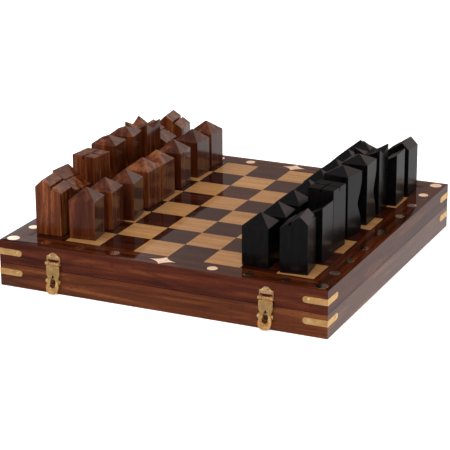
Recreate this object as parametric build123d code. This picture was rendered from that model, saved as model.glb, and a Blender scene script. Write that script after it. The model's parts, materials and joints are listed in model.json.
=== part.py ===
from build123d import *
import math
import os

# A chess box with a hinged lid, and the 32 chess pieces that stand on it.
# Origin: centre of the underside. X runs to the right along the front, Y towards the
# hinged back, Z up. Millimetres. The lid is shut and both hasps are closed.

# ---------------------------------------------------------------- box sizes
box_side = 305.0            # both ways, over the rails
box_height = 41.5           # underside to playing surface
seam_gap = 0.4              # shadow line between the base and the lid
base_height = 20.9          # base rails, underside to seam
wall = 10.0                 # rail thickness beside the storage space

fields = 8                  # fields along each side
border = 20.9               # from the outer face of the box to the first field
tile_thickness = 3.0        # solid wood squares
core_thickness = 3.5        # plywood under the squares
core_lap = 4.0              # how far the core reaches under the border
floor_thickness = 4.0       # plywood bottom
floor_lap = 5.0             # how far the floor is let into the rails
felt_thickness = 1.0
felt_margin = 0.3           # felt is cut a little short of the walls
overrun = 1.0               # how far a cutting form runs past what it cuts

# ---------------------------------------------------------------- brass inlays of the border
corner_dot_diameter = 11.0
corner_dot_inset = 9.0      # from both outer edges
dot_diameter = 9.0
dot_shift = 3.55            # each dot stands this far short of its field's middle
dots_per_half_side = 3
inlay_thickness = 1.5
inlay_clearance = 0.05      # glue line round every inlay
star_length = 25.5          # along the border
star_width = 17.0           # across the border
star_hollow = 0.72          # how far its hollow sides reach out, as a share of a straight-sided star

# ---------------------------------------------------------------- corner straps
strap_thickness = 1.2
strap_proud = 0.2           # stands this far out of the wood
strap_width = 5.6
strap_arm = 22.0            # from the corner to the end of each arm
strap_edge_gap = 0.1        # between the strap and its recess
lid_strap_below_top = 10.0  # centre line
base_strap_above_foot = 13.2
nail_inset = 5.0            # from the strap's end to its nail
nail_head_diameter = 3.0
nail_head_height = 0.5
nail_head_chamfer = 0.3
nail_shank_diameter = 1.4
nail_length = 7.0
nail_clearance = 0.05

# ---------------------------------------------------------------- rear hinges
hinge_from_side = 57.5      # from the side of the box to the middle of the hinge
hinge_width = 30.0
hinge_knuckles = 5
knuckle_gap = 0.3
barrel_radius = 2.4
hinge_pin_radius = 1.1
hinge_pin_clearance = 0.06
leaf_thickness = 1.0
leaf_height = 11.0
leaf_seam_gap = 2.8         # from the hinge axis to the near edge of a leaf
web_lap = 1.0               # how far a knuckle's web runs on over its leaf
barrel_wall_gap = 0.15      # between the barrel and the back of the box
heel_length = 6.0           # stop heel, from the hinge axis to its end
heel_thickness = 0.9
heel_gap = 0.1
heel_root_gap = 0.3         # from the pin to the start of a heel
lid_opening = 100.0         # degrees, where the heel meets the base leaf
screw_head_diameter = 3.6
screw_head_height = 0.8
screw_shank_diameter = 1.8
screw_length = 8.0
screw_point_length = 2.4
screw_slot_width = 0.5
screw_slot_depth = 0.3
screw_height_on_leaf = 6.8  # from the near edge of the leaf
screw_from_middle = 10.0
screws_per_leaf = 3

# ---------------------------------------------------------------- hasps
hasp_from_side = 53.5       # from the side of the box to the middle of the hasp
hasp_axis_below_top = 13.6
hasp_axis_out = 2.0         # from the face of the rail to the hinge axis
hasp_barrel_radius = 1.5
hasp_pin_radius = 0.7
hasp_pin_clearance = 0.06
hasp_width = 12.8
hasp_band_width = 13.6      # over the three knuckles
hasp_flap_knuckle = 6.6
hasp_knuckle_gap = 0.3
plate_thickness = 0.8
plate_tip_below_top = 4.0   # tip of the middle scallop
plate_shoulder_below_top = 8.2
plate_scallop_fill = 0.6    # radius of a side scallop, as a share of the room for it
plate_window_height = 1.8   # opening across the plate, just above its knuckles
plate_window_rim = 0.8      # strip left beside it
plate_nail_below_top = 7.7
plate_nail_from_middle = 3.6
flap_thickness = 1.0
flap_full_width_to = 18.2   # lowest height of the full width
flap_waist_height = 15.4
flap_waist_width = 10.4
flap_tab_width = 12.2
flap_tab_top = 7.0          # the thumb tab is widest from here
flap_tab_foot = 4.0         # to here, and round below
flap_foot_height = 1.0      # tip of the thumb tab
flap_bend_height = 12.0     # the flap leans outward below this height
flap_lean_foot = 6.0        # down to here
flap_lean_out = 3.9         # back of the leaf at that height, from the face of the rail
flap_tip_out = 5.1          # back of the leaf at the level of the underside
slot_top = 16.6
slot_foot = 6.3
slot_width = 5.4
keeper_width = 14.4         # over its two round ears
keeper_aside = -1.1         # its middle from the middle of the hasp: nailed on by eye
keeper_foot = 8.0
keeper_top = 14.0
keeper_nail_from_middle = 5.8
keeper_nail_height = 11.0
hook_width = 3.0
hook_foot = 9.0
hook_height = 3.4
hook_out = 3.2              # from the face of the rail to the hook's nose
hook_nose_radius = 1.0

# ---------------------------------------------------------------- chess pieces
stock = 24.0                # every piece is cut from one square stick
pawn_shoulder = 34.5
pawn_peak = 44.5
rook_player_shoulder = 43.2
rook_enemy_shoulder = 38.8
rook_peak = 50.0
rook_peak_share = 0.29      # ridge, as a share of the stock from the player's side
saw_kerf = 1.8
saw_depth = 3.3
knight_player_height = 48.5
knight_enemy_height = 35.0
knight_step = 1.2           # the front half of the slope lies this much lower
bishop_shoulder = 55.0
bishop_peak = 61.5
bishop_scoop_depth = 6.5
bishop_scoop_foot = 7.0
bishop_scoop_top = 47.0
bishop_scoop_lean = 0.12    # how the scoop's ends lean, as sideways over upward
queen_height = 60.0
queen_valley = 53.0
queen_valley_radius = 5.0
king_height = 55.0
king_kerf = 1.2
piece_edge_break = 0.5      # small chamfer round every foot

# Each army's places, from the front of the box to its back: how far the piece stands
# from the middle of its field towards +X and +Y, as shares of the room that its field
# leaves round the stock, and how far it is turned (degrees).
rank_order = ["rook", "knight", "king", "bishop", "bishop", "queen", "knight", "rook"]
sheesham_rank_places = [(-0.45, 0.17, 4), (-0.34, -0.11, -5), (0, -0.34, -6), (-0.28, 0.22, 4),
                        (-0.22, 0.11, 6), (0.11, -0.34, -5), (0.34, -0.45, 3), (0.22, -0.45, 6)]
sheesham_pawn_places = [(-0.62, 0.39, 6), (-0.45, 0.17, 3), (0.11, -0.28, 7), (-0.11, 0.17, -3),
                        (0, -0.56, -1), (-0.06, -0.17, 4), (0, 0.51, -3), (-0.06, 0.39, -2)]
ebony_rank_places = [(-0.45, -0.11, 6), (-0.28, -0.22, 0), (-0.34, -0.67, -4), (-0.45, 0.11, -9),
                     (-0.34, 0.51, 1), (-0.45, 0.56, 1), (0.28, -0.11, 2), (0.28, 0.11, -1)]
ebony_pawn_places = [(-0.62, 0.22, 0), (-0.45, 0.11, 3), (-0.45, 0.22, -2), (-0.39, 0.11, 2),
                     (-0.51, 0, 0), (-0.45, 0.22, -3), (-0.51, 0.11, 2), (-0.51, 0.06, -2)]

# ---------------------------------------------------------------- worked out from the above
half = box_side / 2
board_side = box_side - 2 * border
square_side = board_side / fields
free_room = square_side - stock
lid_foot = base_height + seam_gap
tile_foot = box_height - tile_thickness
core_foot = tile_foot - core_thickness
core_side = board_side + 2 * core_lap
floor_side = box_side - 2 * wall + 2 * floor_lap
inside = box_side - 2 * wall
lid_strap_height = box_height - lid_strap_below_top
hinge_axis_y = half + barrel_wall_gap + barrel_radius
hinge_axis_z = base_height + seam_gap / 2
hinge_middle = half - hinge_from_side
knuckle_pitch = hinge_width / hinge_knuckles
hasp_middle = half - hasp_from_side
hasp_axis_y = -half - hasp_axis_out
hasp_axis_height = box_height - hasp_axis_below_top
plate_tip = box_height - plate_tip_below_top
plate_shoulder = box_height - plate_shoulder_below_top
plate_nail_height = box_height - plate_nail_below_top
keeper_nail_places = [(keeper_aside + s * keeper_nail_from_middle, keeper_nail_height) for s in (-1, 1)]
plate_nail_places = [(s * plate_nail_from_middle, plate_nail_height) for s in (-1, 1)]

os.makedirs("parts", exist_ok=True)


def save(name, *solids):
    """Write one sub-part, or a group of separate solids, to its own STEP file."""
    kept = [s for item in solids for s in item.solids()]
    shape = kept[0] if len(kept) == 1 else Compound(children=kept)
    export_step(shape, f"parts/{name}.step")


def block(x0, x1, y0, y1, z0, z1):
    """A box between two corners."""
    return Pos((x0 + x1) / 2, (y0 + y1) / 2, (z0 + z1) / 2) * Box(x1 - x0, y1 - y0, z1 - z0)


def rod(start, direction, radius, length):
    """A round bar from a start point along a direction."""
    plane = Plane(origin=start, z_dir=direction)
    return extrude(plane * Circle(radius), length)


def four_turns(shape):
    """The shape and its three copies turned about the middle of the box."""
    return [Rot(0, 0, 90 * k) * shape for k in range(4)]


# ================================================================ brass nails and screws
def nail(point, direction):
    """Round-headed brass pin; point lies on the metal's surface, direction out of the wood."""
    inward = tuple(-c for c in direction)
    head = rod(point, direction, nail_head_diameter / 2, nail_head_height)
    head = chamfer(head.edges().sort_by(Axis(point, direction))[-1], nail_head_chamfer)
    return head + rod(point, inward, nail_shank_diameter / 2, nail_length)


def nail_hole(point, direction):
    """Clearance hole for a nail's shank."""
    inward = tuple(-c for c in direction)
    return rod(point, inward, nail_shank_diameter / 2 + nail_clearance, nail_length + nail_clearance)


def screw(point, direction):
    """Countersunk wood screw with its slotted head flush in the leaf."""
    plane = Plane(origin=point, z_dir=tuple(-c for c in direction))
    profile = Polyline((0, 0), (screw_head_diameter / 2, 0),
                       (screw_shank_diameter / 2, screw_head_height),
                       (screw_shank_diameter / 2, screw_length - screw_point_length),
                       (0, screw_length), close=True)
    body = revolve(make_face(Plane.XZ * profile), Axis.Z)
    slot = Box(screw_head_diameter, screw_slot_width, 2 * screw_slot_depth)
    return plane.location * (body - slot)


def screw_hole(point, direction):
    """Hole that a screw fills, with a hair of clearance."""
    grow = nail_clearance
    plane = Plane(origin=point, z_dir=tuple(-c for c in direction))
    profile = Polyline((0, 0), (screw_head_diameter / 2 + grow, 0),
                       (screw_shank_diameter / 2 + grow, screw_head_height + grow),
                       (screw_shank_diameter / 2 + grow, screw_length + grow), (0, screw_length + grow),
                       close=True)
    return plane.location * revolve(make_face(Plane.XZ * profile), Axis.Z)


# ================================================================ corner straps
def strap(height, grow=0.0):
    """L-shaped strip round the front right corner, with rounded ends."""
    reach = half + strap_proud
    depth = strap_thickness - strap_proud
    width = strap_width + 2 * grow
    arm_end = half - strap_arm - grow
    end_middle = arm_end + width / 2

    def arm(thickness_in, thickness_out):
        flat = Pos((end_middle + reach) / 2, 0) * Rectangle(reach - end_middle, width)
        flat += Pos(end_middle, 0) * Circle(width / 2)
        return extrude(Plane.XZ * flat, thickness_in + thickness_out)

    front_arm = Pos(0, -half + depth, height) * arm(depth, strap_proud)
    side_arm = mirror(front_arm, Plane(origin=(0, 0, 0), x_dir=(0, 0, 1), z_dir=(1, 1, 0)))
    return front_arm + side_arm


def strap_nail_points(height):
    """Nails near both ends of the front right strap: point and outward direction."""
    along = half - strap_arm + nail_inset
    out = half + strap_proud
    return [((along, -out, height), (0, -1, 0)), ((out, -along, height), (1, 0, 0))]


# ================================================================ hinge leaves
def hinge_bore(side):
    """The hole for a hinge's pin, through all its knuckles."""
    start = side * hinge_middle - hinge_width / 2 - overrun
    return rod((start, hinge_axis_y, hinge_axis_z), (1, 0, 0),
               hinge_pin_radius + hinge_pin_clearance, hinge_width + 2 * overrun)


def knuckle_ends(side, k):
    """Where knuckle number k of a hinge starts and ends along X."""
    start = side * hinge_middle - hinge_width / 2 + k * knuckle_pitch
    return start + knuckle_gap / 2, start + knuckle_pitch - knuckle_gap / 2


def hinge_leaf(side, up, knuckles):
    """A leaf on the back face with its knuckles; up is +1 for the lid, -1 for the base."""
    x0 = side * hinge_middle - hinge_width / 2
    root, tip, web_tip = [hinge_axis_z + up * (leaf_seam_gap + length)
                          for length in (0, leaf_height, web_lap)]
    leaf = block(x0, x0 + hinge_width, half, half + leaf_thickness, min(root, tip), max(root, tip))
    for k in knuckles:
        a, b = knuckle_ends(side, k)
        leaf += rod((a, hinge_axis_y, hinge_axis_z), (1, 0, 0), barrel_radius, b - a)
        leaf += block(a, b, half + barrel_wall_gap, half + leaf_thickness + barrel_wall_gap,
                      min(hinge_axis_z, web_tip), max(hinge_axis_z, web_tip))
    for k in range(screws_per_leaf):
        leaf -= screw_hole(*leaf_screw(side, up, k))
    return leaf - hinge_bore(side)


def leaf_screw(side, up, k):
    """Place and outward direction of one screw of a leaf."""
    x = side * hinge_middle + (k - (screws_per_leaf - 1) / 2) * screw_from_middle
    z = hinge_axis_z + up * (leaf_seam_gap + screw_height_on_leaf)
    return (x, half + leaf_thickness, z), (0, 1, 0)


def stop_heels(side, knuckles):
    """Heels of the lid leaf; they meet the base leaf when the lid stands open."""
    face = half + leaf_thickness + heel_gap
    to_axis = Pos(0, hinge_axis_y, hinge_axis_z)
    back = Pos(0, -hinge_axis_y, -hinge_axis_z)
    heels = []
    for k in knuckles:
        a, b = knuckle_ends(side, k)
        opened = block(a, b, face, face + heel_thickness, hinge_axis_z - heel_length,
                       hinge_axis_z - hinge_pin_radius - heel_root_gap)
        heels.append(to_axis * Rot(lid_opening, 0, 0) * back * opened)
    return heels


# ================================================================ hasps
def scalloped_plate(x_middle):
    """Hasp plate on the lid: round middle scallop between two small ones."""
    foot = hasp_axis_height - hasp_barrel_radius
    middle_radius = plate_tip - plate_shoulder
    side_radius = (hasp_width / 2 - middle_radius) * plate_scallop_fill
    flat = Pos(0, (foot + plate_shoulder) / 2) * Rectangle(hasp_width, plate_shoulder - foot)
    flat += Pos(0, plate_shoulder) * Circle(middle_radius)
    for s in (-1, 1):
        flat += Pos(s * (hasp_width / 2 - side_radius), plate_shoulder) * Circle(side_radius)
    plate = extrude(Plane.XZ * flat, plate_thickness)
    return Pos(x_middle, -half, 0) * plate


def hasp_plate(x_middle):
    """Plate with an opening above its two outer knuckles, which are bored for the pin."""
    plate = scalloped_plate(x_middle)
    knuckle_top = hasp_axis_height + hasp_barrel_radius
    opening = hasp_width / 2 - plate_window_rim
    plate -= block(x_middle - opening, x_middle + opening, -half - plate_thickness, -half,
                   knuckle_top, knuckle_top + plate_window_height)
    knuckle = (hasp_band_width - hasp_flap_knuckle) / 2 - hasp_knuckle_gap
    gap = hasp_flap_knuckle / 2 + hasp_knuckle_gap
    clear = block(x_middle - gap, x_middle + gap, -half - plate_thickness, -half,
                  hasp_axis_height - hasp_barrel_radius - overrun, knuckle_top + hasp_knuckle_gap)
    plate -= clear
    for s in (-1, 1):
        start = x_middle + (gap if s > 0 else -gap - knuckle)
        barrel = rod((start, hasp_axis_y, hasp_axis_height), (1, 0, 0), hasp_barrel_radius, knuckle)
        web = block(start, start + knuckle, hasp_axis_y, -half,
                    hasp_axis_height - hasp_barrel_radius, hasp_axis_height)
        plate += barrel + web
    plate -= Pos(x_middle, 0, 0) * hasp_bore()
    for place in plate_nail_places:
        plate -= nail_hole(*on_hasp_face(x_middle, place))
    return plate


def on_hasp_face(x_middle, place):
    """A nail's point on a hasp plate or keeper, and its outward direction."""
    return (x_middle + place[0], -half - plate_thickness, place[1]), (0, -1, 0)


def hasp_bore():
    """The hole for a hasp's pin, through all three knuckles."""
    return rod((-hasp_band_width / 2 - overrun, hasp_axis_y, hasp_axis_height), (1, 0, 0),
               hasp_pin_radius + hasp_pin_clearance, hasp_band_width + 2 * overrun)


def hasp_pin(x_middle):
    """Pin through the three knuckles."""
    return rod((x_middle - hasp_band_width / 2, hasp_axis_y, hasp_axis_height), (1, 0, 0),
               hasp_pin_radius, hasp_band_width)


def hasp_flap(x_middle):
    """Swinging flap: knuckle, shield-shaped leaf, tear-drop slot and kicked-out thumb tab."""
    # side view as (distance out of the face, height), drawn down to the underside
    back = [(hasp_axis_out - flap_thickness / 2, hasp_axis_height),
            (hasp_axis_out - flap_thickness / 2, flap_bend_height),
            (flap_lean_out, flap_lean_foot), (flap_tip_out, 0)]
    front = [(out + flap_thickness, z) for out, z in reversed(back)]
    side = make_face(Polyline(*[(-half - out, z) for out, z in back + front], close=True))
    slab = extrude(Plane.YZ * side, hasp_band_width, both=True)
    # front view
    notch = hasp_axis_height - hasp_barrel_radius - hasp_knuckle_gap
    tab = flap_tab_width / 2
    right = [(hasp_width / 2, notch), (hasp_width / 2, flap_full_width_to),
             (flap_waist_width / 2, flap_waist_height), (tab, flap_tab_top), (tab, flap_tab_foot)]
    left = [(-x, z) for x, z in reversed(right)]
    foot = ThreePointArc(right[-1], (0, flap_foot_height), left[0])
    outline = make_face(Polyline(*left, *right).edges() + foot.edges())
    outline += Pos(0, (notch + hasp_axis_height) / 2) * Rectangle(hasp_flap_knuckle,
                                                                  hasp_axis_height - notch)
    # tear-drop slot: round at the foot, pointed at the top
    r = slot_width / 2
    drop = make_face(Polyline((-r, slot_foot + r), (0, slot_top), (r, slot_foot + r), close=True))
    drop += Pos(0, slot_foot + r) * Circle(r)
    flap = slab & extrude(Plane.XZ * (outline - drop), half + hasp_band_width)
    flap += rod((-hasp_flap_knuckle / 2, hasp_axis_y, hasp_axis_height), (1, 0, 0),
                hasp_barrel_radius, hasp_flap_knuckle)
    return Pos(x_middle, 0, 0) * (flap - hasp_bore())


def hasp_keeper(x_middle):
    """Keeper plate with round ears and the round-nosed hook that the flap's slot passes over."""
    ear_radius = (keeper_top - keeper_foot) / 2
    ear_middle = keeper_width / 2 - ear_radius
    outline = Pos(0, keeper_foot + ear_radius) * Rectangle(2 * ear_middle, 2 * ear_radius)
    for s in (-1, 1):
        outline += Pos(s * ear_middle, keeper_foot + ear_radius) * Circle(ear_radius)
    plate = Pos(x_middle + keeper_aside, -half, 0) * extrude(Plane.XZ * outline, plate_thickness)
    hook = block(x_middle - hook_width / 2, x_middle + hook_width / 2, -half - hook_out, -half,
                 hook_foot, hook_foot + hook_height)
    nose = hook.edges().filter_by(Axis.X).group_by(Axis.Y)[0]
    plate += fillet(nose, hook_nose_radius)
    for place in keeper_nail_places:
        plate -= nail_hole(*on_hasp_face(x_middle, place))
    return plate


# ================================================================ border inlays
def star_outline(grow=0.0):
    """Four-pointed star with hollow sides, long axis along X."""
    a, b = star_length / 2, star_width / 2
    hollow_x, hollow_y = star_hollow * a / 2 + grow, star_hollow * b / 2 + grow
    tips = [(a + 2 * grow, 0), (0, b + 2 * grow), (-a - 2 * grow, 0), (0, -b - 2 * grow)]
    sides = []
    for k in range(4):
        p, q = tips[k], tips[(k + 1) % 4]
        hollow = (math.copysign(hollow_x, p[0] + q[0]), math.copysign(hollow_y, p[1] + q[1]))
        sides.append(ThreePointArc(p, hollow, q))
    return make_face(sides)


def border_inlay(outline):
    """Turn an outline into a thin plate flush with the playing surface."""
    return Pos(0, 0, box_height - inlay_thickness) * extrude(outline, inlay_thickness)


def side_dots(grow=0.0):
    """The dots of the front border and its right-hand corner dot."""
    y = -half + border / 2
    places = [s * ((k + 1.5) * square_side - dot_shift)
              for k in range(dots_per_half_side) for s in (-1, 1)]
    dots = [border_inlay(Pos(x, y) * Circle(dot_diameter / 2 + grow)) for x in sorted(places)]
    corner = half - corner_dot_inset
    dots.append(border_inlay(Pos(corner, -corner) * Circle(corner_dot_diameter / 2 + grow)))
    return dots


def side_star(grow=0.0):
    """The star in the middle of the front border."""
    return border_inlay(Pos(0, -half + border / 2) * star_outline(grow))


# ================================================================ rails
def rail(section_points):
    """A rail along the front with mitred ends; section as (distance in, height)."""
    section = make_face(Polyline(*[(-half + d, z) for d, z in section_points], close=True))
    bar = extrude(Plane.YZ * section, half, both=True)
    corner = make_face(Polyline((-half, -half), (half, -half), (0, 0), close=True))
    mitre = extrude(corner, box_height)
    return bar & mitre


lid_section = [(0, lid_foot), (wall, lid_foot), (wall, core_foot),
               (border - core_lap, core_foot), (border - core_lap, tile_foot),
               (border, tile_foot), (border, box_height), (0, box_height)]
base_section = [(0, 0), (wall - floor_lap, 0), (wall - floor_lap, floor_thickness),
                (wall, floor_thickness), (wall, base_height), (0, base_height)]

side_names = ["front", "right", "back", "left"]
lid_pockets = four_turns(strap(lid_strap_height, strap_edge_gap))
base_pockets = four_turns(strap(base_strap_above_foot, strap_edge_gap))
lid_nails, base_nails = [], []
for k in range(4):
    turn = Rot(0, 0, 90 * k)
    for place in strap_nail_points(lid_strap_height):
        lid_nails.append((turn, place))
    for place in strap_nail_points(base_strap_above_foot):
        base_nails.append((turn, place))
for x in (-hasp_middle, hasp_middle):
    lid_nails += [(Rot(0, 0, 0), on_hasp_face(x, place)) for place in plate_nail_places]
    base_nails += [(Rot(0, 0, 0), on_hasp_face(x, place)) for place in keeper_nail_places]

inlay_pockets = []
for k in range(4):
    turn = Rot(0, 0, 90 * k)
    inlay_pockets += [turn * d for d in side_dots(inlay_clearance)]
    inlay_pockets.append(turn * side_star(inlay_clearance))


def near(shape, tool):
    """True where two bounding boxes meet, so that only real cuts are made."""
    a, b = shape.bounding_box(), tool.bounding_box()
    return all(getattr(a.min, c) < getattr(b.max, c) and getattr(b.min, c) < getattr(a.max, c)
               for c in ("X", "Y", "Z"))


def cut_all(shape, tools):
    """Cut every tool that reaches the shape."""
    for tool in tools:
        if near(shape, tool):
            shape = shape - tool
    return shape


screw_places = {up: [leaf_screw(side, up, k) for side in (-1, 1) for k in range(screws_per_leaf)]
                for up in (-1, 1)}
lid_cuts = lid_pockets + inlay_pockets + [turn * nail_hole(*p) for turn, p in lid_nails]
lid_cuts += [screw_hole(*p) for p in screw_places[1]]
base_cuts = base_pockets + [turn * nail_hole(*p) for turn, p in base_nails]
base_cuts += [screw_hole(*p) for p in screw_places[-1]]

for k, name in enumerate(side_names):
    turn = Rot(0, 0, 90 * k)
    save(f"lid_{name}_rail", cut_all(turn * rail(lid_section), lid_cuts))
    save(f"base_{name}_rail", cut_all(turn * rail(base_section), base_cuts))

# ================================================================ panels and linings
save("base_floor", block(-floor_side / 2, floor_side / 2, -floor_side / 2, floor_side / 2,
                         0, floor_thickness))
felt = inside / 2 - felt_margin
save("base_felt_lining", block(-felt, felt, -felt, felt,
                               floor_thickness, floor_thickness + felt_thickness))
save("board_core", block(-core_side / 2, core_side / 2, -core_side / 2, core_side / 2,
                         core_foot, tile_foot))
save("lid_felt_lining", block(-felt, felt, -felt, felt, core_foot - felt_thickness, core_foot))

# ================================================================ the 64 fields
light, dark = [], []
for i in range(fields):
    for j in range(fields):
        x0 = -board_side / 2 + i * square_side
        y0 = -board_side / 2 + j * square_side
        tile = block(x0, x0 + square_side, y0, y0 + square_side, tile_foot, box_height)
        (dark if (i + j) % 2 == 0 else light).append(tile)
save("light_squares", *light)
save("dark_squares", *dark)

# ================================================================ inlays, straps, nails, screws
dots, stars = [], []
for k in range(4):
    turn = Rot(0, 0, 90 * k)
    dots += [turn * d for d in side_dots()]
    stars.append(turn * side_star())
save("border_dots", *dots)
save("border_stars", *stars)

for part, height, nails, up in (("lid", lid_strap_height, lid_nails, 1),
                                ("base", base_strap_above_foot, base_nails, -1)):
    holes = [turn * nail_hole(*p) for turn, p in nails]
    save(f"{part}_corner_straps", *[cut_all(s, holes) for s in four_turns(strap(height))])
    fasteners = [turn * nail(*p) for turn, p in nails] + [screw(*p) for p in screw_places[up]]
    save(f"{part}_nails_and_screws", *fasteners)

# ================================================================ hinges
base_knuckles = range(0, hinge_knuckles, 2)
lid_knuckles = range(1, hinge_knuckles, 2)
base_leaves, lid_leaves, hinge_pins = [], [], []
for side in (-1, 1):
    base_leaves.append(hinge_leaf(side, -1, base_knuckles))
    lid_leaf = hinge_leaf(side, 1, lid_knuckles)
    for heel in stop_heels(side, lid_knuckles):
        lid_leaf += heel - hinge_bore(side)
    lid_leaves.append(lid_leaf)
    hinge_pins.append(rod((side * hinge_middle - hinge_width / 2, hinge_axis_y, hinge_axis_z),
                          (1, 0, 0), hinge_pin_radius, hinge_width))
save("hinge_base_leaves", *base_leaves)
save("hinge_lid_leaves", *lid_leaves)
save("hinge_pins", *hinge_pins)

# ================================================================ hasps
hasp_places = {"left": -hasp_middle, "right": hasp_middle}
save("hasp_plates", *[hasp_plate(x) for x in hasp_places.values()])
save("hasp_pins", *[hasp_pin(x) for x in hasp_places.values()])
save("hasp_keepers", *[hasp_keeper(x) for x in hasp_places.values()])
for name, x in hasp_places.items():
    save(f"{name}_hasp_flap", hasp_flap(x))


# ================================================================ chess pieces
# Each function makes one piece standing on Z = 0 with the player's side towards -X.
def stick(height):
    """A length of the square stock with its foot edges broken."""
    body = Pos(0, 0, height / 2) * Box(stock, stock, height)
    return chamfer(body.faces().sort_by(Axis.Z)[0].edges(), piece_edge_break)


def saw_cut(x, y_wise, top, width, depth):
    """A saw kerf across the whole stock, along Y or along X."""
    length = stock + 2 * overrun
    size = (width, length, depth * 2) if y_wise else (length, width, depth * 2)
    return Pos(x if y_wise else 0, 0 if y_wise else x, top) * Box(*size)


def prism_along_y(points):
    """A solid with this side view, as wide as the stock."""
    return extrude(Plane.XZ * make_face(Polyline(*points, close=True)), stock, both=True)


def hip_roof(shoulder, peak):
    """A square post with a four-sided pyramid on it."""
    cap = loft([Pos(0, 0, shoulder) * Rectangle(stock, stock), Vertex(0, 0, peak)])
    return Pos(0, 0, shoulder / 2) * Box(stock, stock, shoulder) + cap


def pawn():
    return stick(pawn_peak) & hip_roof(pawn_shoulder, pawn_peak)


def rook():
    h = stock / 2
    ridge = -h + rook_peak_share * stock
    roof = prism_along_y([(-h, 0), (h, 0), (h, rook_enemy_shoulder), (ridge, rook_peak),
                          (-h, rook_player_shoulder)])
    cut_x = (ridge + h) / 2
    cut_top = (rook_peak + rook_enemy_shoulder) / 2
    return (stick(rook_peak) & roof) - saw_cut(cut_x, True, cut_top, saw_kerf, saw_depth)


def knight():
    h = stock / 2
    middle = (knight_player_height + knight_enemy_height) / 2
    slope = prism_along_y([(-h, 0), (h, 0), (h, knight_enemy_height - knight_step),
                           (0, middle - knight_step), (0, middle), (-h, knight_player_height)])
    return stick(knight_player_height) & slope


def bishop():
    h = stock / 2
    body = stick(bishop_peak) & hip_roof(bishop_shoulder, bishop_peak)
    deepest = (bishop_scoop_foot + bishop_scoop_top) / 2
    curve = Spline((-h, bishop_scoop_foot), (-h + bishop_scoop_depth, deepest), (-h, bishop_scoop_top),
                   tangents=[(bishop_scoop_lean, 1), (-bishop_scoop_lean, 1)])
    chord = Line((-h, bishop_scoop_top), (-h, bishop_scoop_foot))
    scoop = extrude(Plane.YZ * make_face([curve, chord]), stock, both=True)
    return body - scoop


def queen():
    h = stock / 2
    body = stick(queen_height)
    above = queen_height + overrun
    groove = make_face(Polyline((-h, above), (-h, queen_height), (0, queen_valley),
                                (h, queen_height), (h, above), close=True))
    cutter = extrude(Plane.XZ * groove, stock, both=True)
    valley = cutter.edges().filter_by(Axis.Y).sort_by(Axis.Z)[0]
    cutter = fillet(valley, queen_valley_radius)
    return body - cutter - Rot(0, 0, 90) * cutter


def king():
    body = stick(king_height)
    for y_wise in (True, False):
        body -= saw_cut(0, y_wise, king_height, king_kerf, saw_depth)
    return body


makers = {"pawn": pawn, "rook": rook, "knight": knight, "bishop": bishop, "queen": queen, "king": king}
solids = {name: make() for name, make in makers.items()}
ends = {True: "front", False: "back"}


def stand(solid, column, row, place, facing):
    """Put a piece on its field."""
    dx, dy, turn = place
    x = -board_side / 2 + (column + 0.5) * square_side + dx * free_room
    y = -board_side / 2 + (row + 0.5) * square_side + dy * free_room
    return Pos(x, y, box_height) * Rot(0, 0, facing + turn) * solid


armies = [("sheesham", 0, 1, 0, sheesham_rank_places, sheesham_pawn_places),
          ("ebony", 7, 6, 180, ebony_rank_places, ebony_pawn_places)]
for army, rank_column, pawn_column, facing, rank_places, pawn_places in armies:
    for row in range(fields):
        kind = rank_order[row]
        twin = rank_order.count(kind) > 1
        name = f"{army}_{kind}_{ends[row < fields / 2]}" if twin else f"{army}_{kind}"
        save(name, stand(solids[kind], rank_column, row, rank_places[row], facing))
        save(f"{army}_pawn_{row + 1}", stand(solids["pawn"], pawn_column, row, pawn_places[row], facing))
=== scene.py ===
import json
import math

import bmesh
import bpy
from mathutils import Matrix, Vector
from mathutils.geometry import intersect_line_line_2d

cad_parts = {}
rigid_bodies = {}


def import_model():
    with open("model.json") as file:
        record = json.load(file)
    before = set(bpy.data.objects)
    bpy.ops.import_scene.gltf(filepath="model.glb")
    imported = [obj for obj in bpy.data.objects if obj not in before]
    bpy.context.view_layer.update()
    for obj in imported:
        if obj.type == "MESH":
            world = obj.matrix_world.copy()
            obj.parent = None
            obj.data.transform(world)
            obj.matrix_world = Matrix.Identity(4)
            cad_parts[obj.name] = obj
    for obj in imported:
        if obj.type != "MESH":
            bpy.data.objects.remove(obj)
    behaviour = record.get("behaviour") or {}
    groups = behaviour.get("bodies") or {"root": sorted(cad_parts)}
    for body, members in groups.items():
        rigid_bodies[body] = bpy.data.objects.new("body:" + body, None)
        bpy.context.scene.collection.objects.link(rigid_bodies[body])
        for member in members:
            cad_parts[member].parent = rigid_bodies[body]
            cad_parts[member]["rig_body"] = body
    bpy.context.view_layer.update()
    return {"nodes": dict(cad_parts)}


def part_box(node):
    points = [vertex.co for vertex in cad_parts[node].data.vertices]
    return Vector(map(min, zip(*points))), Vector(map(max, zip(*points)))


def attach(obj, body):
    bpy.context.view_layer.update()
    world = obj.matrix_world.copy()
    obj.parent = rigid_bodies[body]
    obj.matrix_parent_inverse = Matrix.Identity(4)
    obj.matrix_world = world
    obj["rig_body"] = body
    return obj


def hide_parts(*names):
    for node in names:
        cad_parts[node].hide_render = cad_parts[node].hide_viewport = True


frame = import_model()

mm = 0.001

# ------------------------------------------------------------------------------ camera
# A long lens on a stand in front of the box and to its right, a little above the chess
# pieces. It looks down on the board, so the floor fills all that is seen behind the box.
camera_turn = math.radians(24.836)
camera_rise = math.radians(19.112)
camera_roll = math.radians(-0.3455)
camera_distance = 1.65373
aim_right = -0.00763        # where the lens points, from the middle of the underside
aim_up = 0.02624
lens_length = 145.547       # for a 36 mm wide sensor

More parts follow.
